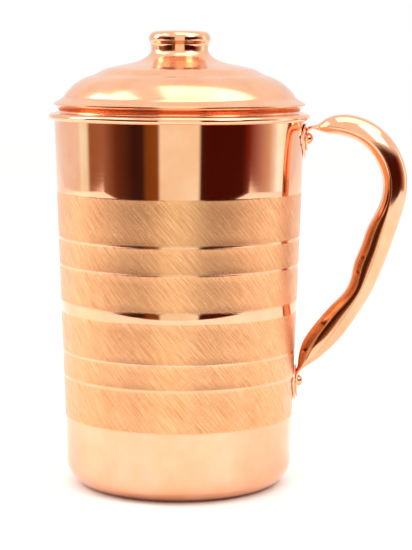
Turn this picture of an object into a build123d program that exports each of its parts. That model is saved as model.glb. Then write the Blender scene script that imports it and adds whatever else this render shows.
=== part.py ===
from build123d import *
import os
from math import acos, atan, cos, degrees, radians, sin, tan

# Copper water jug with a riveted hollow handle and a lift-off lid.
# Millimetres, +Z up. The origin is the centre of the flat base, on the jug's axis.
# The handle points along +X.

# ---------------------------------------------------------------- driving sizes
SHEET = 0.7  # spun copper sheet of the jug and the lid
HANDLE_SHEET = 0.9  # pressed copper sheet of the two handle halves
FIT_GAP = 0.05  # gap between pieces that are soldered or riveted together

RIM_Z = 179.9  # height of the centre of the rolled rim
RIM_WALL_R = 60.66  # outer radius of the wall at the rolled rim
WALL_TAPER = 0.0315  # radius lost for each millimetre below the rim
BASE_CORNER_R = 12.5  # rounding between the wall and the base
CURL_R = 1.65  # outside radius of the rolled rim's section
CURL_TURN = 290  # degrees that the sheet turns through in the rim

KNOB_R = 14.9  # widest radius of the lid's knob
KNOB_CORNER_R = 3.5  # rounding between the knob's side and its top
KNOB_CORNER_TURN = 84  # degrees that this rounding turns through before the crown
KNOB_TOP_Z = RIM_Z + 41.4
KNOB_SWELL = (0.35, 3.0)  # a point on the knob's side: radius over the waist's, height over it
WAIST_R = 13.8  # radius of the knob's waist, where it meets the dome
WAIST_Z = RIM_Z + 32.0
STUB_H = 2.5  # height of the dome's neck inside the knob
# Points on the dome's outer face from the neck down: radius, and height over RIM_Z.
FLARE_POINTS = [(16.6, 28.2), (23.5, 25.5), (35.6, 22.8)]
STEP_POINTS = [(38.9, 21.2), (42.0, 19.7)]
CROWN_POINTS = [(51.0, 15.2), (56.0, 9.6)]
BRIM_HOLLOW = (57.4, 8.3)
FLARE_SLOPE = -0.30  # slopes of the dome's face where the flare ends, the step ends and the brim ends
STEP_SLOPE = -0.36
BRIM_SLOPE = -0.8
BRIM_R = 60.8  # outer radius of the lid's brim
BRIM_Z = RIM_Z + 5.6  # height of the brim's edge
BRIM_EDGE = 0.6  # height of the brim's outer edge
GROOVE_R = 58.0  # smallest radius of the collar, just under the brim
GROOVE_Z = RIM_Z + 2.3
SWAGE_R = 60.4  # radius of the swage by which the lid sits in the rim, before its rounding
SWAGE_Z = RIM_Z + 0.9
SKIRT_R = 59.2  # outer radius of the skirt that enters the mouth
SKIRT_TOP_Z = RIM_Z - 0.8
SKIRT_BOTTOM_Z = RIM_Z - 5.2
COLLAR_ROUND = 0.9  # rounding of the collar's bends

SHANK_R = 1.7  # handle rivets
HEAD_R = 2.9
HEAD_H = 2.6
INNER_HEAD_R = 3.6
INNER_HEAD_H = 1.0
INNER_HEAD_CHAMFER = 0.5
UPPER_RIVET_Z = 169.5
LOWER_RIVET_Z = 50.6
HOLE_LENGTH = 4 * (HANDLE_SHEET + SHEET)  # long enough to cut the wall and both handle sheets

# Stations along the seam between the two handle halves, from the upper rivet to the lower one:
# x and z of the seam, width across, depth of the outer half, depth of the inner half.
HANDLE_STATIONS = [
    (61.35, 171.4, 9.0, 0.95, 1.0),
    (61.6, 172.9, 9.0, 0.95, 1.0),
    (62.5, 174.2, 9.0, 0.95, 1.0),
    (64.4, 174.85, 9.0, 1.0, 1.0),
    (67.2, 175.0, 9.5, 1.5, 1.9),
    (70.6, 175.4, 12.0, 3.4, 3.4),
    (76.0, 175.3, 15.5, 5.8, 3.9),
    (82.5, 173.8, 17.5, 7.2, 3.8),
    (91.3, 169.3, 18.0, 8.0, 3.9),
    (98.0, 162.0, 18.0, 8.2, 4.1),
    (102.2, 151.5, 18.0, 8.1, 4.0),
    (102.4, 141.5, 18.0, 7.6, 4.1),
    (100.8, 133.5, 18.0, 7.1, 5.2),
    (98.6, 124.5, 18.0, 6.5, 7.3),
    (95.9, 115.0, 18.0, 6.0, 7.7),
    (93.0, 106.5, 18.0, 5.7, 8.1),
    (88.8, 96.5, 17.5, 5.5, 6.4),
    (85.6, 90.7, 17.0, 5.4, 6.5),
    (82.0, 85.0, 16.5, 5.3, 7.8),
    (78.1, 79.2, 16.0, 5.3, 8.7),
    (73.9, 73.5, 15.0, 5.0, 9.0),
    (69.9, 68.2, 13.5, 4.1, 8.8),
    (65.7, 62.8, 11.5, 2.7, 7.6),
    (61.6, 58.6, 10.0, 1.4, 4.2),
    (59.3, 56.2, 9.0, 1.0, 1.6),
    (58.1, 54.5, 8.5, 0.95, 0.95),
    (57.7, 52.0, 8.0, 0.95, 0.95),
]
SEAM_TUCK = 0.05  # how far the inner half reaches into the outer one, as a share of its depth

# Half outlines of the plates on the wall, from top to bottom: distance from the middle, and z.
UPPER_LEAF = [(0, 176.6), (11.0, 175.4), (15.0, 171.0), (8.0, 163.5), (0, 160.0)]
UPPER_TONGUE = [(0, 172.1), (4.5, 171.2), (4.4, 167.0), (0, 163.5)]
LOWER_LEAF = [(0, 58.5), (5.5, 57.0), (10.5, 51.5), (6.0, 44.5), (0, 41.0)]
LOWER_TONGUE = [(0, 52.5), (4.1, 51.6), (4.0, 47.5), (0, 42.5)]


def wall_radius(z):
    """Outer radius of the jug's tapered wall at height z."""
    return RIM_WALL_R - WALL_TAPER * (RIM_Z - z)


def wall_plane(z):
    """Plane on the wall at height z on the handle's side, facing straight out of the wall."""
    return Plane(origin=(wall_radius(z), 0, z), x_dir=(0, 1, 0), z_dir=(1, 0, -WALL_TAPER))


def rivet_holes():
    """Cut both rivet holes through the part that is being built."""
    for rivet_z in (UPPER_RIVET_Z, LOWER_RIVET_Z):
        with Locations(wall_plane(rivet_z)):
            Cylinder(SHANK_R + FIT_GAP, HOLE_LENGTH, mode=Mode.SUBTRACT)


# ---------------------------------------------------------------- jug body
# One spun shell: flat base, rounded corner, tapered wall, and a rim rolled outwards.
# The outline runs along the sheet's outer face and back along its inner face.
wall_angle = degrees(atan(WALL_TAPER))
corner_top_z = BASE_CORNER_R * (1 - sin(radians(wall_angle)))
corner_r = wall_radius(corner_top_z) - BASE_CORNER_R * cos(radians(wall_angle))
corner_centre = (corner_r, BASE_CORNER_R)
corner_turn = 90 - wall_angle
curl_in = CURL_R - SHEET
curl_centre = (RIM_WALL_R + curl_in, RIM_Z)

with BuildPart() as jug_body:
    with BuildSketch(Plane.XZ):
        with BuildLine():
            base_outside = Line((0, 0), (corner_r, 0))
            corner_outside = CenterArc(corner_centre, BASE_CORNER_R, -90, corner_turn)
            wall_outside = Line(corner_outside @ 1, (RIM_WALL_R, RIM_Z))
            curl_inside = CenterArc(curl_centre, curl_in, 180, -CURL_TURN)
            curl_outside = CenterArc(curl_centre, CURL_R, 180, -CURL_TURN)
            corner_inside = CenterArc(corner_centre, BASE_CORNER_R - SHEET, -90, corner_turn)
            Line(curl_inside @ 1, curl_outside @ 1)
            Line(corner_inside @ 1, curl_outside @ 0)
            Line((0, SHEET), corner_inside @ 0)
            Line((0, 0), (0, SHEET))
        make_face()
    revolve(axis=Axis.Z)
    rivet_holes()

# ---------------------------------------------------------------- lid
# The dome: a neck inside the knob, a hollow flare, a step, the crown and the flared brim.
stub_r = WAIST_R - SHEET - FIT_GAP


def over_rim(points):
    """Points of the lid's section, moved up by the rim's height."""
    return [(radius, RIM_Z + height) for radius, height in points]


with BuildPart() as lid_dome:
    with BuildSketch(Plane.XZ):
        with BuildLine():
            stub = Line((stub_r, WAIST_Z + STUB_H), (stub_r, WAIST_Z))
            lip = Line(stub @ 1, (WAIST_R, WAIST_Z))
            flare_slopes = [(0, -1), (1, FLARE_SLOPE)]
            flare = Spline(lip @ 1, *over_rim(FLARE_POINTS), tangents=flare_slopes)
            step_slopes = [(1, FLARE_SLOPE), (1, STEP_SLOPE)]
            step = Spline(flare @ 1, *over_rim(STEP_POINTS), tangents=step_slopes)
            crown = ThreePointArc(step @ 1, *over_rim(CROWN_POINTS))
            brim_slopes = [crown % 1, (1, BRIM_SLOPE)]
            brim_end = (BRIM_R, BRIM_Z + BRIM_EDGE)
            brim = Spline(crown @ 1, *over_rim([BRIM_HOLLOW]), brim_end, tangents=brim_slopes)
            edge = Line(brim @ 1, (BRIM_R, BRIM_Z))
            Polyline(edge @ 1, (0, BRIM_Z), (0, WAIST_Z + STUB_H), stub @ 0)
        make_face()
    revolve(axis=Axis.Z)
    flats = lid_dome.faces().filter_by(GeomType.PLANE).sort_by(Axis.Z)
    offset(amount=-SHEET, openings=[flats[0], flats[-1]])

# The knob: a hollow spun cap, slightly crowned, that sits over the dome's neck.
knob_corner_r = KNOB_R - KNOB_CORNER_R
crown_r = knob_corner_r / cos(radians(KNOB_CORNER_TURN)) + KNOB_CORNER_R
crown_centre_z = KNOB_TOP_Z - crown_r
knob_corner_z = crown_centre_z + knob_corner_r * tan(radians(KNOB_CORNER_TURN))


def knob_surface(inset):
    """The knob's side, corner and crown, inset from its outer face. Returns its two ends."""
    side = Spline(
        (WAIST_R - inset, WAIST_Z),
        (WAIST_R + KNOB_SWELL[0] - inset, WAIST_Z + KNOB_SWELL[1]),
        (KNOB_R - inset, knob_corner_z),
        tangents=[(0, 1), (0, 1)],
    )
    CenterArc((knob_corner_r, knob_corner_z), KNOB_CORNER_R - inset, 0, KNOB_CORNER_TURN)
    crown = CenterArc((0, crown_centre_z), crown_r - inset, KNOB_CORNER_TURN, 90 - KNOB_CORNER_TURN)
    return side @ 0, crown @ 1


with BuildPart() as lid_knob:
    with BuildSketch(Plane.XZ):
        with BuildLine():
            outer_foot, outer_crown = knob_surface(0)
            inner_foot, inner_crown = knob_surface(SHEET)
            Line(outer_foot, inner_foot)
            Line(outer_crown, inner_crown)
        make_face()
    revolve(axis=Axis.Z)

# The collar: a cone under the brim, a swage that sits in the rim, and a skirt that enters the mouth.
with BuildPart() as lid_collar:
    with BuildSketch(Plane.XZ):
        with BuildLine():
            section = FilletPolyline(
                (BRIM_R - SHEET, BRIM_Z - FIT_GAP),
                (GROOVE_R, GROOVE_Z),
                (SWAGE_R, SWAGE_Z),
                (SKIRT_R, SKIRT_TOP_Z),
                (SKIRT_R, SKIRT_BOTTOM_Z),
                radius=COLLAR_ROUND,
            )
            Polyline(section @ 1, (0, SKIRT_BOTTOM_Z), (0, BRIM_Z - FIT_GAP), section @ 0)
        make_face()
    revolve(axis=Axis.Z)
    flats = lid_collar.faces().filter_by(GeomType.PLANE).sort_by(Axis.Z)
    offset(amount=-SHEET, openings=[flats[0], flats[-1]])

# ---------------------------------------------------------------- handle
# Two pressed half shells meet along a seam. Both ends are flattened together, turned along
# the wall and riveted through it. The half that touches the wall ends in a broad leaf, which
# is wrapped to the wall, and the other half ends in a narrower tongue over that leaf.
seam = Spline([(x, 0, z) for x, z, _, _, _ in HANDLE_STATIONS])


def seam_plane(x, z):
    """Plane across the seam at x, z: its x is across the handle, its y points to the outer half."""
    at = seam.param_at_point((x, 0, z))
    return Plane(origin=(x, 0, z), x_dir=(0, 1, 0), z_dir=seam % at)


def half_section(half_width, depth, start, foot=0):
    """Closed half-ellipse band, one sheet thick, with its feet at the given height over the seam."""
    outside = EllipticalCenterArc((0, foot), half_width, depth, start, arc_size=180)
    inner_size = (half_width - HANDLE_SHEET, depth - HANDLE_SHEET)
    inside = EllipticalCenterArc((0, foot), *inner_size, start, arc_size=180)
    Line(outside @ 0, inside @ 0)
    Line(outside @ 1, inside @ 1)


def wrapped_plate(outline, layer):
    """A leaf or tongue: its flat outline in Y and Z, wrapped to the wall as the given layer."""
    near = FIT_GAP + layer * (HANDLE_SHEET + FIT_GAP)
    far = near + HANDLE_SHEET
    high_z = outline[0][1]
    low_z = outline[-1][1]
    with BuildPart() as plate:
        with BuildSketch(Plane.XZ):
            with BuildLine():
                Polyline(
                    (wall_radius(low_z) + near, low_z),
                    (wall_radius(low_z) + far, low_z),
                    (wall_radius(high_z) + far, high_z),
                    (wall_radius(high_z) + near, high_z),
                    close=True,
                )
            make_face()
        revolve(axis=Axis.Z)
        with BuildSketch(Plane.YZ):
            with BuildLine():
                half = Spline(outline, tangents=[(1, 0), (-1, 0)])
                Line(half @ 1, half @ 0)
            make_face()
            mirror(about=Plane.YZ)
        extrude(amount=2 * RIM_WALL_R, mode=Mode.INTERSECT)
    return plate.part


plates = {}
for name, outline, layer in (
    ("upper_leaf", UPPER_LEAF, 0),
    ("upper_tongue", UPPER_TONGUE, 1),
    ("lower_leaf", LOWER_LEAF, 0),
    ("lower_tongue", LOWER_TONGUE, 1),
):
    plates[name] = wrapped_plate(outline, layer)

with BuildPart() as handle_outer_shell:
    for x, z, width, outer_depth, _ in HANDLE_STATIONS:
        with BuildSketch(seam_plane(x, z)):
            with BuildLine():
                half_section(width / 2, outer_depth, 0)
            make_face()
    loft()
    add(plates["upper_leaf"])
    add(plates["lower_tongue"])
    rivet_holes()

with BuildPart() as handle_inner_shell:
    for x, z, width, outer_depth, inner_depth in HANDLE_STATIONS:
        with BuildSketch(seam_plane(x, z)):
            with BuildLine():
                tuck = SEAM_TUCK * (outer_depth - HANDLE_SHEET)
                half_section(width / 2 - HANDLE_SHEET - FIT_GAP, inner_depth + tuck, 180, tuck)
            make_face()
    loft()
    add(plates["upper_tongue"])
    add(plates["lower_leaf"])
    rivet_holes()

# ---------------------------------------------------------------- rivets
# A shank through the wall and both handle sheets, a domed head outside and a flat head inside.
grip = 2 * (HANDLE_SHEET + FIT_GAP) + FIT_GAP
dome_r = (HEAD_R**2 + HEAD_H**2) / (2 * HEAD_H)
dome_start = degrees(acos(HEAD_R / dome_r))
inner_seat = -SHEET - INNER_HEAD_R**2 / (2 * RIM_WALL_R) - FIT_GAP


def rivet(z):
    """One rivet, on the wall's normal at height z."""
    wall_face = wall_plane(z)
    section_plane = Plane(
        origin=wall_face.origin,
        x_dir=wall_face.x_dir,
        z_dir=wall_face.x_dir.cross(wall_face.z_dir),
    )
    with BuildPart() as rivet_part:
        with BuildSketch(section_plane):
            with BuildLine():
                dome = CenterArc((0, grip + HEAD_H - dome_r), dome_r, dome_start, 90 - dome_start)
                Polyline(
                    dome @ 1,
                    (0, inner_seat - INNER_HEAD_H),
                    (INNER_HEAD_R - INNER_HEAD_CHAMFER, inner_seat - INNER_HEAD_H),
                    (INNER_HEAD_R, inner_seat),
                    (SHANK_R, inner_seat),
                    (SHANK_R, grip),
                    dome @ 0,
                )
            make_face()
        revolve(axis=Axis(wall_face.origin, wall_face.z_dir))
    return rivet_part


upper_rivet = rivet(UPPER_RIVET_Z)
lower_rivet = rivet(LOWER_RIVET_Z)

# ---------------------------------------------------------------- write the pieces
os.makedirs("parts", exist_ok=True)
pieces = {
    "jug_body": jug_body,
    "handle_outer_shell": handle_outer_shell,
    "handle_inner_shell": handle_inner_shell,
    "upper_rivet": upper_rivet,
    "lower_rivet": lower_rivet,
    "lid_dome": lid_dome,
    "lid_collar": lid_collar,
    "lid_knob": lid_knob,
}
for label, piece in pieces.items():
    piece.part.label = label
    export_step(piece.part, f"parts/{label}.step")
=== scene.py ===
from math import cos, pi, radians, sin, tan

import bmesh
import bpy
import numpy as np
from mathutils import Matrix


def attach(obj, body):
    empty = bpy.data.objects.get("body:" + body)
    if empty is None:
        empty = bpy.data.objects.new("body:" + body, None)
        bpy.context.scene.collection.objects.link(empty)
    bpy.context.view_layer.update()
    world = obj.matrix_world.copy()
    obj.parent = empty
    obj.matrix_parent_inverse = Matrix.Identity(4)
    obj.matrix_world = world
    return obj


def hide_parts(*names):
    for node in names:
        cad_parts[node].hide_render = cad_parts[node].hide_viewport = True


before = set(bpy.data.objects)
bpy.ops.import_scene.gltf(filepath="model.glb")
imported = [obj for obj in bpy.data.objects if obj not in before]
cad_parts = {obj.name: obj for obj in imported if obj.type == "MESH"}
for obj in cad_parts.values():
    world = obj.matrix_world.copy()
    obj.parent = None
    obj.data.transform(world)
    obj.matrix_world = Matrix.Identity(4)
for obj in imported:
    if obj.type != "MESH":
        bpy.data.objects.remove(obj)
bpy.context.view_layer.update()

# Looks of the copper water jug. Shapes are written in millimetres and scaled to metres
# when their mesh is made. They follow the same driving sizes as the CAD pieces.
MM = 0.001
TURN_STEPS = 320  # columns round a turned piece

# ---------------------------------------------------------------- driving sizes, mm
SHEET = 0.7
HANDLE_SHEET = 0.9
FIT_GAP = 0.05

RIM_Z = 179.9
RIM_WALL_R = 60.66
WALL_TAPER = 0.0315
BASE_CORNER_R = 12.5
CURL_R = 1.65
CURL_TURN = 290

KNOB_R = 14.9
KNOB_CORNER_R = 3.5
KNOB_CORNER_TURN = 84
KNOB_FLARE = 30  # degrees that the knob's side leans out where it meets the corner
KNOB_TOP_Z = RIM_Z + 41.4
WAIST_R = 13.8
WAIST_Z = RIM_Z + 32.0
STUB_H = 2.5
BRIM_R = 60.8
BRIM_Z = RIM_Z + 5.6
BRIM_EDGE = 0.6
# Points on the dome's outer face from the neck down: radius, and height over RIM_Z.
FLARE_POINTS = [(16.6, 28.2), (23.5, 25.5), (35.6, 22.8)]
STEP_POINTS = [(38.9, 21.2), (42.0, 19.7)]
CROWN_POINTS = [(51.0, 15.2), (56.0, 9.6)]
BRIM_HOLLOW = (57.4, 8.3)
FLARE_SLOPE = -0.30
STEP_SLOPE = -0.36
BRIM_SLOPE = -0.8
# The collar's outer face from its groove to the skirt's foot: radius, and height over RIM_Z.
COLLAR_POINTS = [(58.0, 2.3), (60.4, 0.9), (59.2, -0.8), (59.2, -5.2)]
COLLAR_ROUND = 0.9

RIVET_DOME_R = 2.9
RIVET_DOME_H = 2.6
RIVET_SHANK_R = 1.7
INNER_HEAD_R = 3.6
INNER_HEAD_H = 1.0
UPPER_RIVET_Z = 169.5
LOWER_RIVET_Z = 50.6

# Finish of the wall: a satin zone, crossed by thin polished lines and one wider polished strip.
SATIN_BOTTOM_Z = 34.5
SATIN_TOP_Z = 143.6
LINE_H = 1.1
LINE_HEIGHTS = (54.7, 66.8, 108.9, 121.9)
STRIP_Z = 88.8
STRIP_H = 5.3
SATIN_DEPTH = 0.05  # how far the scratched satin zone lies under the polished lines

# Stations along the handle's seam, from the upper rivet to the lower one:
# x and z of the seam, width across, depth of the outer half, depth of the inner half.
HANDLE_STATIONS = [
    (61.35, 171.4, 9.0, 0.95, 1.0),
    (61.6, 172.9, 9.0, 0.95, 1.0),
    (62.5, 174.2, 9.0, 0.95, 1.0),
    (64.4, 174.85, 9.0, 1.0, 1.0),
    (67.2, 175.0, 9.5, 1.5, 1.9),
    (70.6, 175.4, 12.0, 3.4, 3.4),
    (76.0, 175.3, 15.5, 5.8, 3.9),
    (82.5, 173.8, 17.5, 7.2, 3.8),
    (91.3, 169.3, 18.0, 8.0, 3.9),
    (98.0, 162.0, 18.0, 8.2, 4.1),
    (102.2, 151.5, 18.0, 8.1, 4.0),
    (102.4, 141.5, 18.0, 7.6, 4.1),
    (100.8, 133.5, 18.0, 7.1, 5.2),
    (98.6, 124.5, 18.0, 6.5, 7.3),
    (95.9, 115.0, 18.0, 6.0, 7.7),
    (93.0, 106.5, 18.0, 5.7, 8.1),
    (88.8, 96.5, 17.5, 5.5, 6.4),
    (85.6, 90.7, 17.0, 5.4, 6.5),
    (82.0, 85.0, 16.5, 5.3, 7.8),
    (78.1, 79.2, 16.0, 5.3, 8.7),
    (73.9, 73.5, 15.0, 5.0, 9.0),
    (69.9, 68.2, 13.5, 4.1, 8.8),
    (65.7, 62.8, 11.5, 2.7, 7.6),
    (61.6, 58.6, 10.0, 1.4, 4.2),
    (59.3, 56.2, 9.0, 1.0, 1.6),
    (58.1, 54.5, 8.5, 0.95, 0.95),
    (57.7, 52.0, 8.0, 0.95, 0.95),
]
SEAM_TUCK = 0.05
HANDLE_RINGS = 360
SECTION_STEPS = 96

# Half outlines of the plates on the wall, from top to bottom: distance from the middle, and z.
UPPER_LEAF = [(0, 176.6), (11.0, 175.4), (15.0, 171.0), (8.0, 163.5), (0, 160.0)]
UPPER_TONGUE = [(0, 172.1), (4.5, 171.2), (4.4, 167.0), (0, 163.5)]
LOWER_LEAF = [(0, 58.5), (5.5, 57.0), (10.5, 51.5), (6.0, 44.5), (0, 41.0)]
LOWER_TONGUE = [(0, 52.5), (4.1, 51.6), (4.0, 47.5), (0, 42.5)]


# ---------------------------------------------------------------- curves
def arc(centre, radius, start, turn, steps=24):
    """Points of an arc; angles in degrees."""
    angles = np.radians(np.linspace(start, start + turn, steps + 1))
    return [(centre[0] + radius * cos(a), centre[1] + radius * sin(a)) for a in angles]


def run(start, end, steps):
    """Points of a straight run, without its first one."""
    shares = np.linspace(0, 1, steps + 1)[1:]
    return [tuple(np.add(start, np.subtract(end, start) * share)) for share in shares]


def cubic(points, count, tangents=None, spacing=None):
    """Cubic spline through points, by chord length: natural ends, or given end directions."""
    points = np.array(points, float)
    knots = np.r_[0, np.cumsum(np.linalg.norm(np.diff(points[:, :2], axis=0), axis=1))]
    steps = np.diff(knots)
    slopes = np.diff(points, axis=0) / steps[:, None]
    size = len(points)
    system = np.zeros((size, size))
    right = np.zeros_like(points)
    for i in range(1, size - 1):
        system[i, i - 1 : i + 2] = steps[i], 2 * (steps[i - 1] + steps[i]), steps[i - 1]
        right[i] = 3 * (steps[i] * slopes[i - 1] + steps[i - 1] * slopes[i])
    for row, near, slope in ((0, 1, slopes[0]), (size - 1, size - 2, slopes[-1])):
        if tangents is None:
            system[row, row] = 2
            system[row, near] = 1
            right[row] = 3 * slope
        else:
            direction = np.array(tangents[0 if row == 0 else 1], float)
            system[row, row] = 1
            right[row] = direction / np.linalg.norm(direction)
    rates = np.linalg.solve(system, right)
    at = np.linspace(0, 1, count) if spacing is None else spacing
    at = at * knots[-1]
    index = np.clip(np.searchsorted(knots, at, "right") - 1, 0, size - 2)
    h = steps[index]
    s = ((at - knots[index]) / h)[:, None]
    h = h[:, None]
    return (
        points[index] * (1 + 2 * s) * (1 - s) ** 2
        + rates[index] * h * s * (1 - s) ** 2
        + points[index + 1] * s**2 * (3 - 2 * s)
        + rates[index + 1] * h * s**2 * (s - 1)
    )


def as_pairs(points):
    return [tuple(point) for point in points]


def smooth(share):
    """Eases a share of 0 to 1."""
    share = np.clip(share, 0, 1)
    return share * share * (3 - 2 * share)


# ---------------------------------------------------------------- meshes
def skin(name, rings, closed):
    """Mesh over rings of points in mm. closed joins the last ring to the first, else both ends
    are capped. The UV map holds the distances round the rings and along them, in metres."""
    rings = np.array(rings) * MM
    rows, columns = rings.shape[:2]
    around = np.linalg.norm(np.roll(rings, -1, axis=1) - rings, axis=2)
    girth = np.max(around.sum(axis=1))
    middle = rings[:, 0]
    along = np.r_[0, np.cumsum(np.linalg.norm(np.diff(middle, axis=0), axis=1))]
    vertices = rings.reshape(-1, 3).tolist()
    faces = []
    corner_uvs = []
    for i in range(rows if closed else rows - 1):
        below = (i + 1) % rows
        v0 = along[i]
        v1 = along[below] if below else along[i] + np.linalg.norm(rings[0, 0] - rings[i, 0])
        for j in range(columns):
            right = (j + 1) % columns
            upper = i * columns
            lower = below * columns
            faces.append((upper + j, upper + right, lower + right, lower + j))
            u0 = girth * j / columns
            u1 = girth * (j + 1) / columns
            corner_uvs += [u0, v0, u1, v0, u1, v1, u0, v1]
    if not closed:
        for row in (0, rows - 1):
            pole = len(vertices)
            vertices.append(rings[row].mean(axis=0).tolist())
            for j in range(columns):
                faces.append((row * columns + j, row * columns + (j + 1) % columns, pole))
                u = girth * j / columns
                corner_uvs += [u, along[row], u + girth / columns, along[row], u, along[row]]
    mesh = bpy.data.meshes.new(name)
    mesh.from_pydata(vertices, [], faces)
    mesh.uv_layers.new(name="UVMap").data.foreach_set("uv", corner_uvs)
    tidy = bmesh.new()
    tidy.from_mesh(mesh)
    bmesh.ops.recalc_face_normals(tidy, faces=tidy.faces)
    if tidy.calc_volume(signed=True) < 0:
        bmesh.ops.reverse_faces(tidy, faces=tidy.faces)
    tidy.to_mesh(mesh)
    tidy.free()
    piece = bpy.data.objects.new(name, mesh)
    bpy.context.scene.collection.objects.link(piece)
    return piece


def turned(name, profile, closed=False, axis_matrix=None):
    """Piece turned about +Z from a profile of (radius, z), or about the given matrix's own z."""
    angles = np.linspace(0, 2 * pi, TURN_STEPS, endpoint=False)
    rings = [[(r * cos(a), r * sin(a), z) for a in angles] for r, z in profile]
    piece = skin(name, rings, closed)
    if axis_matrix is not None:
        piece.data.transform(axis_matrix)
    return piece


def apply_modifiers(piece):
    """Replaces the piece's mesh with what its modifiers make of it."""
    bpy.context.view_layer.update()
    shown = piece.evaluated_get(bpy.context.evaluated_depsgraph_get())
    mesh = bpy.data.meshes.new_from_object(shown)
    piece.modifiers.clear()
    piece.data = mesh


def combine(piece, other, operation):
    """Boolean of the piece with the other, which is then removed."""
    change = piece.modifiers.new(operation.lower(), "BOOLEAN")
    change.operation = operation
    change.solver = "MANIFOLD"
    change.object = other
    apply_modifiers(piece)
    bpy.data.objects.remove(other)


def finished(piece, material, body, node, sharp=38):
    """Shades the piece, gives it its material, ties it to its body and hides its CAD node."""
    piece.data.materials.clear()
    piece.data.materials.append(material)
    piece.data.shade_smooth()
    piece.data.set_sharp_from_angle(angle=radians(sharp))
    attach(piece, body)
    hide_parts(node)
    return piece


# ---------------------------------------------------------------- materials
class Nodes:
    """Adds shader nodes to a tree, with their settings and links, in one call each."""

    def __init__(self, tree):
        self.tree = tree

    def add(self, kind, inputs=None, **settings):
        node = self.tree.nodes.new(kind)
        for key, value in settings.items():
            setattr(node, key, value)
        for key, value in (inputs or {}).items():
            if isinstance(value, bpy.types.NodeSocket):
                self.tree.links.new(value, node.inputs[key])
            else:
                node.inputs[key].default_value = value
        return node

    def math(self, operation, *values):
        return self.add("ShaderNodeMath", dict(enumerate(values)), operation=operation).outputs[0]

    def spread(self, value, low, high):
        """Maps a noise value of 0.3 to 0.7 onto low to high."""
        inputs = {"Value": value, "From Min": 0.3, "From Max": 0.7, "To Min": low, "To Max": high}
        return self.add("ShaderNodeMapRange", inputs).outputs[0]

    def streaks(self, uv, turn, along, across, detail=3.0):
        """Noise drawn out into streaks: turn in degrees from round the piece, sizes in mm."""
        placed = self.add("ShaderNodeMapping", {"Vector": uv, "Rotation": (0, 0, radians(turn))})
        drawn = self.add(
            "ShaderNodeMapping",
            {"Vector": placed.outputs[0], "Scale": (1 / (along * MM), 1 / (across * MM), 1)},
        )
        noise = {"Vector": drawn.outputs[0], "Scale": 1.0, "Detail": detail, "Roughness": 0.6}
        return self.add("ShaderNodeTexNoise", noise).outputs[0]

    def blotches(self, size, detail=3.0):
        """Even noise in the piece's own space, with features of the given size in mm."""
        place = self.add("ShaderNodeTexCoord").outputs["Object"]
        noise = {"Vector": place, "Scale": 1 / (size * MM), "Detail": detail, "Roughness": 0.55}
        return self.add("ShaderNodeTexNoise", noise).outputs[0]

    def ramp(self, value, stops, smoothly=False):
        """Colour ramp from (position, colour) stops."""
        node = self.add("ShaderNodeValToRGB", {"Fac": value})
        if not smoothly:
            node.color_ramp.interpolation = "LINEAR"
        elements = node.color_ramp.elements
        while len(elements) < len(stops):
            elements.new(1.0)
        for element, (position, colour) in zip(elements, stops):
            element.position = position
            element.color = (*colour, 1)
        return node.outputs[0]

    def blend(self, share, first, second):
        inputs = {"Factor": share, "A": first, "B": second}
        node = self.add("ShaderNodeMix", data_type="RGBA")
        for key, index in (("Factor", 0), ("A", 6), ("B", 7)):
            if isinstance(inputs[key], bpy.types.NodeSocket):
                self.tree.links.new(inputs[key], node.inputs[index])
            else:
                node.inputs[index].default_value = inputs[key]
        return node.outputs[2]


COPPER = (0.93, 0.50, 0.32, 1)
DEEP_COPPER = (0.88, 0.42, 0.235, 1)
# Tarnish colour: real tarnish on most parts, but on the collar its larger share is painted shade.
TARNISH_AND_PAINTED_SHADE = (0.52, 0.20, 0.10, 1)
SATIN_LIGHT = (0.97, 0.52, 0.27, 1)
SATIN_DARK = (0.70, 0.29, 0.115, 1)


def new_material(name):
    """A metal material. Returns it, its node helper and its shader node."""
    material = bpy.data.materials.new(name)
    material.use_nodes = True
    shader = material.node_tree.nodes["Principled BSDF"]
    shader.inputs["Metallic"].default_value = 1.0
    return material, Nodes(material.node_tree), shader


def relief(nodes, layers):
    """Bump chain from (height, depth in mm) layers. Returns the last one's normal."""
    normal = None
    for height, depth in layers:
        inputs = {"Height": height, "Distance": depth * MM, "Strength": 1.0}
        if normal is not None:
            inputs["Normal"] = normal
        normal = nodes.add("ShaderNodeBump", inputs).outputs[0]
    return normal


LINE_DEPTH = 0.0016  # depth of the buffing lines, mm
CLEAN_COPPER = (COPPER, DEEP_COPPER)


def polished_copper(name, turn, roughness, wave_depth, wave_size=30, wear_and_shade=0.15):
    """Buffed copper: fine buffing lines at the given turn, shallow waves, and faint tarnish in blotches.
    The wear share mixes in the tarnish colour, which on the collar is painted shade.
    """
    material, nodes, shader = new_material(name)
    uv = nodes.add("ShaderNodeUVMap").outputs[0]
    lines = nodes.streaks(uv, turn, 60, 0.35)
    hairlines = nodes.streaks(uv, turn + 35, 9, 0.16, detail=1.0)
    waves = nodes.blotches(wave_size, detail=1.5)
    stains = nodes.blotches(14)
    tint = nodes.blend(nodes.spread(stains, 0, 1), *CLEAN_COPPER)
    colour = nodes.blend(nodes.spread(hairlines, 0, wear_and_shade * 0.5), tint, TARNISH_AND_PAINTED_SHADE)
    line_rough = nodes.spread(lines, roughness * 0.7, roughness * 1.3)
    rough = nodes.math("ADD", line_rough, nodes.spread(stains, 0, wear_and_shade * 0.12))
    nodes.tree.links.new(colour, shader.inputs["Base Color"])
    nodes.tree.links.new(rough, shader.inputs["Roughness"])
    normal = relief(nodes, [(waves, wave_depth), (lines, LINE_DEPTH), (hairlines, LINE_DEPTH / 2)])
    nodes.tree.links.new(normal, shader.inputs["Normal"])
    return material


HATCH_CONTRAST = 2.2  # how far the satin zone's scratches are pulled apart from their mean


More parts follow.
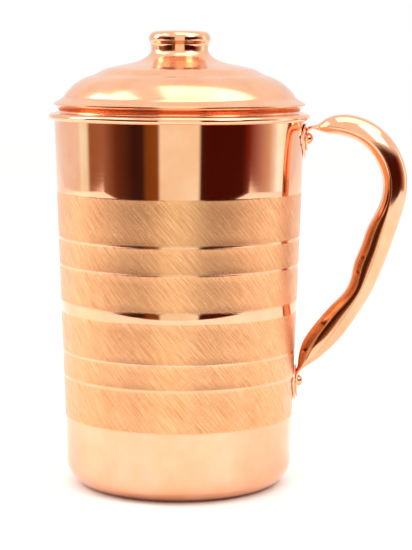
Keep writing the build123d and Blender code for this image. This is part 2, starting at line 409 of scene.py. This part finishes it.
def wall_copper():
    """The wall: buffed copper, and the satin zone scratched crosswise between the polished lines."""
    material, nodes, shader = new_material("wall_copper")
    uv = nodes.add("ShaderNodeUVMap").outputs[0]
    place = nodes.add("ShaderNodeTexCoord").outputs["Object"]
    height = nodes.add("ShaderNodeSeparateXYZ", {"Vector": place}).outputs["Z"]
    share = nodes.math("DIVIDE", height, RIM_Z * MM)
    soft = 0.25  # half the width over which the finish changes, mm
    stops = [(0.0, 0.0)]
    edges = [SATIN_BOTTOM_Z]
    for z, tall in sorted([(z, LINE_H) for z in LINE_HEIGHTS] + [(STRIP_Z, STRIP_H)]):
        edges += [z - tall / 2, z + tall / 2]
    edges.append(SATIN_TOP_Z)
    for i, edge in enumerate(edges):
        before = float(i % 2)
        stops += [((edge - soft) / RIM_Z, before), ((edge + soft) / RIM_Z, 1 - before)]
    satin = nodes.ramp(share, [(position, (level,) * 3) for position, level in stops])
    lines = nodes.streaks(uv, 0, 60, 0.3)
    scratch = nodes.streaks(uv, 47, 16, 0.48)
    fine_scratch = nodes.streaks(uv, 42, 5, 0.2, detail=2.0)
    cross = nodes.streaks(uv, -44, 12, 0.42)
    waves = nodes.blotches(34, detail=1.5)
    stains = nodes.blotches(16)
    main_scratch = nodes.math("MULTIPLY", scratch, 0.72)
    both = nodes.math("ADD", main_scratch, nodes.math("MULTIPLY", cross, 0.28))
    fine = nodes.math("MULTIPLY", fine_scratch, 0.3)
    mixed = nodes.math("ADD", nodes.math("MULTIPLY", both, 0.7), fine)
    stretched = nodes.math("MULTIPLY", mixed, HATCH_CONTRAST)
    hatch = nodes.math("SUBTRACT", stretched, (HATCH_CONTRAST - 1) / 2)
    tint = nodes.blend(nodes.spread(stains, 0, 1), *CLEAN_COPPER)
    hatched = nodes.blend(nodes.spread(hatch, 0, 1), SATIN_LIGHT, SATIN_DARK)
    colour = nodes.blend(satin, tint, hatched)
    rough_polish = nodes.spread(lines, 0.045, 0.085)
    rough_satin = nodes.spread(hatch, 0.25, 0.36)
    rough = nodes.add("ShaderNodeMapRange", {"Value": satin, "To Min": rough_polish, "To Max": rough_satin})
    hatch_height = nodes.math("MULTIPLY", hatch, satin)
    line_height = nodes.math("MULTIPLY", lines, nodes.math("SUBTRACT", 1.0, satin))
    nodes.tree.links.new(colour, shader.inputs["Base Color"])
    nodes.tree.links.new(rough.outputs[0], shader.inputs["Roughness"])
    normal = relief(nodes, [(waves, 0.02), (line_height, 0.0012), (hatch_height, 0.09)])
    nodes.tree.links.new(normal, shader.inputs["Normal"])
    return material


# ---------------------------------------------------------------- jug body
def wall_radius(z):
    return RIM_WALL_R - WALL_TAPER * (RIM_Z - z)


def finish_steps():
    """Heights and insets of the wall's outer face, from below the satin zone to above it."""
    ease = 0.3
    points = [(SATIN_BOTTOM_Z - ease, 0.0), (SATIN_BOTTOM_Z + ease, SATIN_DEPTH)]
    for z, tall in sorted([(z, LINE_H) for z in LINE_HEIGHTS] + [(STRIP_Z, STRIP_H)]):
        points += [(z - tall / 2 - ease, SATIN_DEPTH), (z - tall / 2, 0.0)]
        points += [(z + tall / 2, 0.0), (z + tall / 2 + ease, SATIN_DEPTH)]
    return points + [(SATIN_TOP_Z - ease, SATIN_DEPTH), (SATIN_TOP_Z + ease, 0.0)]


def body_profile():
    """Closed outline of the spun shell, from the middle of the base outwards and back inside."""
    wall_angle = np.degrees(np.arctan(WALL_TAPER))
    corner_top_z = BASE_CORNER_R * (1 - sin(radians(wall_angle)))
    corner_r = wall_radius(corner_top_z) - BASE_CORNER_R * cos(radians(wall_angle))
    corner = (corner_r, BASE_CORNER_R)
    turn = 90 - wall_angle
    curl_in = CURL_R - SHEET
    curl = (RIM_WALL_R + curl_in, RIM_Z)
    start_r = 0.4
    outside = [(start_r, 0)] + run((start_r, 0), (corner_r, 0), 12)
    outside += arc(corner, BASE_CORNER_R, -90, turn, 40)[1:]
    last = outside[-1]
    for z, inset in finish_steps():
        point = (wall_radius(z) - inset, z)
        outside += run(last, point, max(1, int((z - last[1]) / 3)))
        last = point
    outside += run(last, (RIM_WALL_R, RIM_Z), 12)
    outside += arc(curl, curl_in, 180, -CURL_TURN, 40)[1:]
    inside = arc(curl, CURL_R, 180 - CURL_TURN, CURL_TURN, 64)
    corner_inside = arc(corner, BASE_CORNER_R - SHEET, -90 + turn, -turn, 24)
    inside += run(inside[-1], corner_inside[0], 40)
    inside += corner_inside[1:] + run(corner_inside[-1], (start_r, SHEET), 12)
    return outside + inside


jug_body = turned("spun_jug_body", body_profile())
finished(jug_body, wall_copper(), "jug", "jug_body")


# ---------------------------------------------------------------- lid
def over_rim(points):
    return [(r, RIM_Z + h) for r, h in points]


def inset_profile(points, distance):
    """Profile moved to its left-hand side by the distance, point by point."""
    points = np.array(points)
    ways = np.gradient(points, axis=0)
    ways /= np.linalg.norm(ways, axis=1)[:, None]
    normals = np.stack([-ways[:, 1], ways[:, 0]], axis=1)
    return as_pairs(points + distance * normals)


def dome_profile():
    """Outer face of the dome from its brim up to the neck, then its inner face back down."""
    neck = (WAIST_R, WAIST_Z)
    flare = cubic([neck, *over_rim(FLARE_POINTS)], 60, [(0, -1), (1, FLARE_SLOPE)])
    step_slopes = [(1, FLARE_SLOPE), (1, STEP_SLOPE)]
    step = cubic([flare[-1], *over_rim(STEP_POINTS)], 20, step_slopes)
    crown = circle_through(*over_rim([STEP_POINTS[-1], *CROWN_POINTS]), 48)
    brim_start = np.subtract(crown[-1], crown[-2])
    brim_end = (BRIM_R, BRIM_Z + BRIM_EDGE)
    brim_slopes = [brim_start, (1, BRIM_SLOPE)]
    brim = cubic([crown[-1], *over_rim([BRIM_HOLLOW]), brim_end], 24, brim_slopes)
    outer = as_pairs(flare) + as_pairs(step[1:]) + crown[1:] + as_pairs(brim[1:])
    inner = inset_profile(outer, -SHEET)
    stub_r = WAIST_R - SHEET - FIT_GAP
    inner = [point for point in inner if point[0] > stub_r - SHEET and point[1] > BRIM_Z]
    stub = [(stub_r - SHEET, WAIST_Z + STUB_H), (stub_r, WAIST_Z + STUB_H), (stub_r, WAIST_Z)]
    return outer + [(BRIM_R, BRIM_Z)] + inner[::-1] + stub


def circle_through(start, middle, end, steps):
    """Points of the arc through three points."""
    (ax, ay), (bx, by), (cx, cy) = start, middle, end
    d = 2 * (ax * (by - cy) + bx * (cy - ay) + cx * (ay - by))
    squares = ax**2 + ay**2, bx**2 + by**2, cx**2 + cy**2
    x = (squares[0] * (by - cy) + squares[1] * (cy - ay) + squares[2] * (ay - by)) / d
    y = (squares[0] * (cx - bx) + squares[1] * (ax - cx) + squares[2] * (bx - ax)) / d
    first = np.degrees(np.arctan2(ay - y, ax - x))
    last = np.degrees(np.arctan2(cy - y, cx - x))
    return arc((x, y), np.hypot(ax - x, ay - y), first, last - first, steps)


def knob_profile():
    """Outer face of the knob from the middle of its crown down to the waist, then its inner face."""
    corner_r = KNOB_R - KNOB_CORNER_R
    crown_r = corner_r / cos(radians(KNOB_CORNER_TURN)) + KNOB_CORNER_R
    crown_z = KNOB_TOP_Z - crown_r
    corner_z = crown_z + corner_r * tan(radians(KNOB_CORNER_TURN))

    def face(inset):
        turn = KNOB_FLARE + KNOB_CORNER_TURN
        corner = arc((corner_r, corner_z), KNOB_CORNER_R - inset, -KNOB_FLARE, turn, 32)
        flare = (sin(radians(KNOB_FLARE)), cos(radians(KNOB_FLARE)))
        side = cubic([(WAIST_R - inset, WAIST_Z), corner[0]], 24, [(0, 1), flare])
        crown = arc((0, crown_z), crown_r - inset, KNOB_CORNER_TURN, 89.4 - KNOB_CORNER_TURN, 16)
        return as_pairs(side) + corner[1:] + crown[1:]

    return face(0)[::-1] + face(SHEET)


def collar_profile():
    """Outer face of the collar from the brim down to the skirt's foot, and its inner face."""
    corners = [(BRIM_R - SHEET, BRIM_Z - FIT_GAP), *over_rim(COLLAR_POINTS)]
    outer = rounded(corners, COLLAR_ROUND)
    top = corners[0][1]
    foot = corners[-1][1]
    inner = [(r, min(max(z, foot), top)) for r, z in inset_profile(outer, -SHEET)]
    return outer + inner[::-1]


def rounded(corners, radius, steps=8):
    """Points of a broken line with its corners rounded."""
    points = [corners[0]]
    for before, corner, after in zip(corners, corners[1:], corners[2:]):
        back = np.subtract(before, corner)
        ahead = np.subtract(after, corner)
        back /= np.linalg.norm(back)
        ahead /= np.linalg.norm(ahead)
        half = np.arccos(np.clip(back @ ahead, -1, 1)) / 2
        reach = radius / tan(half)
        centre = corner + (back + ahead) / np.linalg.norm(back + ahead) * radius / sin(half)
        first = corner + back * reach - centre
        last = corner + ahead * reach - centre
        for share in np.linspace(0, 1, steps + 1):
            way = first * (1 - share) + last * share
            points.append(tuple(centre + way / np.linalg.norm(way) * radius))
    return points + [corners[-1]]


lid_copper = polished_copper("spun_lid_copper", 0, 0.19, wave_depth=0.008)
knob_copper = polished_copper("spun_knob_copper", 0, 0.06, wave_depth=0.012)
# The collar's larger wear share is painted shade: the darker tarnish colour stands for the rim's shadow
# that it reflects under the brim.
collar_copper_with_painted_shade = polished_copper("spun_collar_copper", 0, 0.12, wave_depth=0.02, wear_and_shade=0.5)
for name, profile, node, closed, material in (
    ("spun_lid_dome", dome_profile(), "lid_dome", True, lid_copper),
    ("spun_lid_collar", collar_profile(), "lid_collar", True, collar_copper_with_painted_shade),
    ("spun_lid_knob", knob_profile(), "lid_knob", False, knob_copper),
):
    finished(turned(name, profile, closed), material, "lid", node)


# ---------------------------------------------------------------- handle
def handle_sections(outer):
    """Rings of one pressed half: a half-ellipse band, one sheet thick, across the seam."""
    stations = cubic(HANDLE_STATIONS, HANDLE_RINGS)
    ways = np.gradient(stations[:, :2], axis=0)
    ways /= np.linalg.norm(ways, axis=1)[:, None]
    rings = []
    for (x, z, width, outer_depth, inner_depth), (way_x, way_z) in zip(stations, ways):
        outwards = np.array([-way_z, way_x])
        foot = 0.0
        half_width = width / 2
        depth = max(outer_depth - TRIM, THINNEST)
        if not outer:
            outwards = -outwards
            tuck = SEAM_TUCK * (outer_depth - HANDLE_SHEET)
            foot = -tuck
            half_width -= HANDLE_SHEET + FIT_GAP
            depth = max(inner_depth, THINNEST) + tuck
        ring = []
        for inset, angles in ((0, SECTION_ANGLES), (HANDLE_SHEET, SECTION_ANGLES[::-1])):
            for angle in angles:
                swell = 1 if outer or inset else pressed_ribs(angle, depth)
                across = (half_width - inset) * squared(cos(angle), outer)
                across *= 1 - FLANK_LEAN * squared(sin(angle), outer) if outer else 1
                up = foot + (depth - inset) * squared(sin(angle), outer) * swell
                ring.append((x + outwards[0] * up, across, z + outwards[1] * up))
        rings.append(ring)
    return rings


THINNEST = HANDLE_SHEET + 0.06  # least depth of a half, so that its band stays open
TRIM = 0.02  # keeps the outer half just inside its CAD piece's box
FLANK_LEAN = 0.33  # share of its width that the outer half loses up its flat flanks
SQUARENESS = 0.6  # power that flattens the flanks of the outer half; 1 would leave a true ellipse
SECTION_ANGLES = np.linspace(0, pi, SECTION_STEPS)
RIB_ANGLES = (24, 42)  # where the grooves run along each flank of the inner half, degrees from the seam
RIB_DEPTH = 0.16
RIB_WIDTH = 6.5


def squared(share, outer):
    """Flattens the flanks of the outer half's section."""
    return np.sign(share) * abs(share) ** SQUARENESS if outer else share


def pressed_ribs(angle, depth):
    """Share of its depth that the inner half keeps at an angle round its section: grooves by the seam."""
    degrees_off = min(np.degrees(angle), 180 - np.degrees(angle))
    groove = sum(np.exp(-(((degrees_off - at) / RIB_WIDTH) ** 2)) for at in RIB_ANGLES)
    return 1 - groove * RIB_DEPTH * smooth((depth - 1.2) / 1.5) / max(depth, 1.5)


def plate_rings(outline, layer, curl):
    """Rings of a leaf or tongue wrapped to the wall. Its tip curls away from the wall by curl mm."""
    near = FIT_GAP + layer * (HANDLE_SHEET + FIT_GAP)
    spread = (1 - np.cos(np.linspace(0, pi, 72))) / 2
    edge = cubic([(w, z) for w, z in outline], 72, [(1, 0), (-1, 0)], spread)
    top_z = outline[0][1]
    tall = top_z - outline[-1][1]
    across = np.linspace(-1, 1, 29)
    rings = []
    for w, z in edge[1:-1]:
        lift = curl * smooth((top_z - z) / tall * 3 - 2)
        ring = []
        for side, shares in ((HANDLE_SHEET, across), (0, across[::-1])):
            for share in shares:
                y = w * share
                round_off = HANDLE_SHEET * 0.3 * smooth((abs(share) * w - w + 0.5) / 0.5)
                out = near + side + lift + (-round_off if side else round_off * 0.2)
                ring.append((np.sqrt(wall_radius(z) ** 2 - y**2) + out, y, z))
        rings.append(ring)
    return rings


def handle_half(name, outer, plates):
    """One pressed half of the handle with its two plates, as one solid."""
    half = skin(name, handle_sections(outer), closed=False)
    for outline, layer, curl in plates:
        combine(half, skin("plate", plate_rings(outline, layer, curl), closed=False), "UNION")
    return half


handle_copper = polished_copper("pressed_handle_copper", 90, 0.09, wave_depth=0.012, wave_size=18, wear_and_shade=0.3)
outer_half = handle_half("pressed_outer_handle", True, [(UPPER_LEAF, 0, 0.35), (LOWER_TONGUE, 1, 0.3)])
inner_half = handle_half("pressed_inner_handle", False, [(UPPER_TONGUE, 1, 0.05), (LOWER_LEAF, 0, 0.25)])
finished(outer_half, handle_copper, "jug", "handle_outer_shell")
finished(inner_half, handle_copper, "jug", "handle_inner_shell")


# ---------------------------------------------------------------- rivets
def rivet_profile():
    """From the top of the domed head down the shank to the flat head inside the jug."""
    grip = 2 * (HANDLE_SHEET + FIT_GAP) + FIT_GAP
    dome_r = (RIVET_DOME_R**2 + RIVET_DOME_H**2) / (2 * RIVET_DOME_H)
    start = np.degrees(np.arccos(RIVET_DOME_R / dome_r))
    seat = -SHEET - INNER_HEAD_R**2 / (2 * RIM_WALL_R) - FIT_GAP
    dome = arc((0, grip + RIVET_DOME_H - dome_r), dome_r, 89, start - 89, 24)
    shank = [(RIVET_SHANK_R, grip), (RIVET_SHANK_R, seat), (INNER_HEAD_R, seat)]
    foot = seat - INNER_HEAD_H
    return dome + shank + arc((INNER_HEAD_R - 0.5, foot + 0.5), 0.5, 0, -90, 6) + [(0.1, foot)]


def wall_matrix(z):
    """Places a turned piece on the wall's outward normal at height z, on the handle's side."""
    tilt = np.arctan(WALL_TAPER)
    place = Matrix.Translation((wall_radius(z) * MM, 0, z * MM))
    return place @ Matrix.Rotation(pi / 2 + tilt, 4, "Y")


rivet_copper = polished_copper("rivet_copper", 0, 0.12, wave_depth=0.06, wave_size=2.2, wear_and_shade=0.5)
for node, z in (("upper_rivet", UPPER_RIVET_Z), ("lower_rivet", LOWER_RIVET_Z)):
    rivet = turned("domed_" + node, rivet_profile(), axis_matrix=wall_matrix(z))
    finished(rivet, rivet_copper, "jug", node)


# ---------------------------------------------------------------- studio
FLOOR_LIGHT = (0.98, 0.98, 0.98, 1)
FLOOR_DARK = (0.96, 0.96, 0.96, 1)
FLOOR_SIDE = 1.15  # metres from the jug to the floor's sides, front and back
FLOOR_FRONT = 0.42
FLOOR_BACK = 3.0


def floor():
    corners = [
        (-FLOOR_SIDE, -FLOOR_FRONT, 0),
        (FLOOR_SIDE, -FLOOR_FRONT, 0),
        (FLOOR_SIDE, FLOOR_BACK, 0),
        (-FLOOR_SIDE, FLOOR_BACK, 0),
    ]
    mesh = bpy.data.meshes.new("floor")
    mesh.from_pydata(corners, [], [(0, 1, 2, 3)])
    sheet = bpy.data.objects.new("floor", mesh)
    bpy.context.scene.collection.objects.link(sheet)
    material = bpy.data.materials.new("floor_white")
    material.use_nodes = True
    nodes = Nodes(material.node_tree)
    shader = material.node_tree.nodes["Principled BSDF"]
    shader.inputs["Roughness"].default_value = 0.6
    shade = nodes.blend(nodes.spread(nodes.blotches(400), 0, 1), FLOOR_LIGHT, FLOOR_DARK)
    nodes.tree.links.new(shade, shader.inputs["Base Color"])
    mesh.materials.append(material)


CAMERA_AZIMUTH = 3.0  # degrees round the jug from -Y towards the handle
CAMERA_DISTANCE = 0.8754
CAMERA_HEIGHT = 0.2135
CAMERA_PITCH = 7.24
CAMERA_AIM = 0.86  # degrees that it is aimed to the right of the jug's axis
CAMERA_ROLL = 0.25
LENS_MM = 117.8


def camera():
    data = bpy.data.cameras.new("camera")
    data.lens = LENS_MM
    data.sensor_width = 36.0
    eye = bpy.data.objects.new("camera", data)
    bpy.context.scene.collection.objects.link(eye)
    azimuth = radians(CAMERA_AZIMUTH)
    place = (CAMERA_DISTANCE * sin(azimuth), -CAMERA_DISTANCE * cos(azimuth), CAMERA_HEIGHT)
    eye.matrix_world = (
        Matrix.Translation(place)
        @ Matrix.Rotation(azimuth - radians(CAMERA_AIM), 4, "Z")
        @ Matrix.Rotation(radians(90 - CAMERA_PITCH), 4, "X")
        @ Matrix.Rotation(radians(CAMERA_ROLL), 4, "Z")
    )
    bpy.context.scene.camera = eye


# The room round the jug: degrees from the camera's side towards the handle, and what is there.
ROOM = [
    (-180, (1.0, 1.0, 1.0)),
    (-106, (1.0, 1.0, 1.0)),
    (-102, (1.05, 1.35, 1.3)),
    (-94, (1.0, 1.2, 1.1)),
    (-90, (0.36, 0.17, 0.08)),
    (-74, (0.38, 0.19, 0.11)),
    (-60, (0.15, 0.05, 0.02)),
    (-42, (0.045, 0.014, 0.010)),
    (-34, (0.05, 0.018, 0.012)),
    (-30, (0.22, 0.08, 0.014)),
    (-19.5, (0.27, 0.10, 0.018)),
    (-17.5, (1.05, 1.15, 1.02)),
    (17.5, (1.08, 1.22, 1.08)),
    (19.5, (0.065, 0.008, 0.003)),
    (60, (0.065, 0.008, 0.003)),
    (67, (0.20, 0.025, 0.010)),
    (77, (0.44, 0.21, 0.18)),
    (90, (0.75, 0.55, 0.40)),
    (98, (1.0, 1.1, 1.1)),
    (103, (1.3, 1.7, 1.8)),
    (114, (1.2, 1.5, 1.5)),
    (120, (1.0, 1.0, 1.0)),
    (180, (1.0, 1.0, 1.0)),
]
DARK_TOP = 24  # degrees over the horizon at which the tent's white ceiling begins
CEILING = (1.08, 1.10, 1.06)


def room():
    """World light: a white tent, open to a dim room on the camera's side and lit from above."""
    world = bpy.data.worlds.new("studio")
    bpy.context.scene.world = world
    world.use_nodes = True
    nodes = Nodes(world.node_tree)
    world.node_tree.nodes.clear()
    way = nodes.add("ShaderNodeTexCoord").outputs["Generated"]
    split = nodes.add("ShaderNodeSeparateXYZ", {"Vector": way})
    x, y, z = split.outputs
    angle = nodes.math("ARCTAN2", x, nodes.math("MULTIPLY", y, -1.0))
    turned_angle = nodes.math("SUBTRACT", angle, radians(CAMERA_AZIMUTH))
    share = nodes.math("ADD", nodes.math("DIVIDE", turned_angle, 2 * pi), 0.5)
    around = nodes.ramp(share, [((degrees + 180) / 360, colour) for degrees, colour in ROOM])
    up = nodes.math("ARCSINE", z)
    rise = {
        "Value": up,
        "From Min": radians(DARK_TOP - 4),
        "From Max": radians(DARK_TOP + 4),
    }
    high = nodes.add("ShaderNodeMapRange", rise).outputs[0]
    light = nodes.blend(high, around, (*CEILING, 1))
    lit = nodes.add("ShaderNodeBackground", {"Color": light, "Strength": 1.0})
    plain = nodes.add("ShaderNodeBackground", {"Color": (1, 1, 1, 1), "Strength": 1.0})
    seen = nodes.add("ShaderNodeLightPath").outputs["Is Camera Ray"]
    mixed = nodes.add("ShaderNodeMixShader", {0: seen, 1: lit.outputs[0], 2: plain.outputs[0]})
    nodes.add("ShaderNodeOutputWorld", {"Surface": mixed.outputs[0]})


def softbox(name, azimuth, elevation, distance, size, level, aside=0.0):
    """Soft panel aimed at the jug's middle, or moved aside from there.
    level is its brightness against the tent's white."""
    data = bpy.data.lights.new(name, "AREA")
    data.shape = "RECTANGLE"
    data.size, data.size_y = size
    data.energy = level * pi * size[0] * size[1]
    lamp = bpy.data.objects.new(name, data)
    bpy.context.scene.collection.objects.link(lamp)
    a = radians(azimuth + CAMERA_AZIMUTH)
    e = radians(elevation)
    middle = Matrix.Translation((0, 0, 0.1))
    lamp.matrix_world = (
        middle
        @ Matrix.Rotation(a, 4, "Z")
        @ Matrix.Rotation(pi / 2 - e, 4, "X")
        @ Matrix.Translation((aside, 0, distance))
    )
    lamp.visible_camera = False


floor()
camera()
room()
softbox("top_softbox", 0, 82, 1.1, (1.3, 0.7), 1.9, aside=0.46)
softbox("top_left_softbox", 0, 82, 1.1, (0.5, 0.7), 1.9, aside=-0.82)
softbox("key_softbox", 48, 42, 1.3, (0.45, 0.6), 4.0)
softbox("side_softbox", -100, 30, 1.3, (0.5, 0.8), 4.5)
bpy.context.scene.view_settings.view_transform = "Standard"
